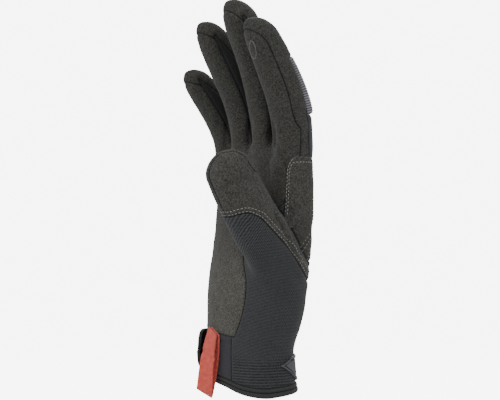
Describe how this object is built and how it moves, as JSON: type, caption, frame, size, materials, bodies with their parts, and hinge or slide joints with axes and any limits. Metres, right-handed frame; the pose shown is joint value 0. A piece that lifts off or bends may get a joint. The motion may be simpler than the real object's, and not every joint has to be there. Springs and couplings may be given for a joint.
{
  "type": "mechanic glove",
  "caption": "Right-hand work glove with suede palm and fingers, knitted cuff, ribbed knuckles, closure strap and a red pull loop.",
  "frame": {"origin": "middle of the wrist opening, level with the lowest point of the hem", "axes": "+Z from the wrist opening to the fingertips, -Y out of the palm, +Y out of the back of the hand, +X to the thumb side"},
  "size_m": [0.0967, 0.0817, 0.2504],
  "materials": {
    "suede": "matte grey synthetic suede",
    "fourchette": "matte near-black stretch cloth",
    "back_cloth": "smooth dark navy-grey stretch cloth",
    "knit": "matte dark navy-grey knit",
    "hem_binding": "dark bound edge",
    "strap": "black closure tab",
    "webbing": "coral red woven ribbon",
    "rubber_badge": "blank grey moulded badge with a raised rim",
    "flex_ribs": "grey ribbed flex panel"
  },
  "bodies": {
    "root": {"palm_panel": "suede", "index_side_panel": "suede", "middle_finger_cap": "suede", "ring_finger_cap": "suede", "little_finger_cap": "suede", "fourchette_index_middle": "fourchette", "fourchette_middle_ring": "fourchette", "fourchette_ring_little": "fourchette", "back_panel": "back_cloth", "thumb_back": "suede", "thumb_front": "suede", "knit_cuff": "knit", "wrist_front": "back_cloth", "saddle_patch": "suede", "cuff_hem": "hem_binding", "closure_strap": "strap", "pull_loop": "webbing", "wrist_badge": "rubber_badge", "index_knuckle_ribs": "flex_ribs", "middle_knuckle_ribs": "flex_ribs", "ring_knuckle_ribs": "flex_ribs", "little_knuckle_ribs": "flex_ribs"}
  },
  "joints": []
}
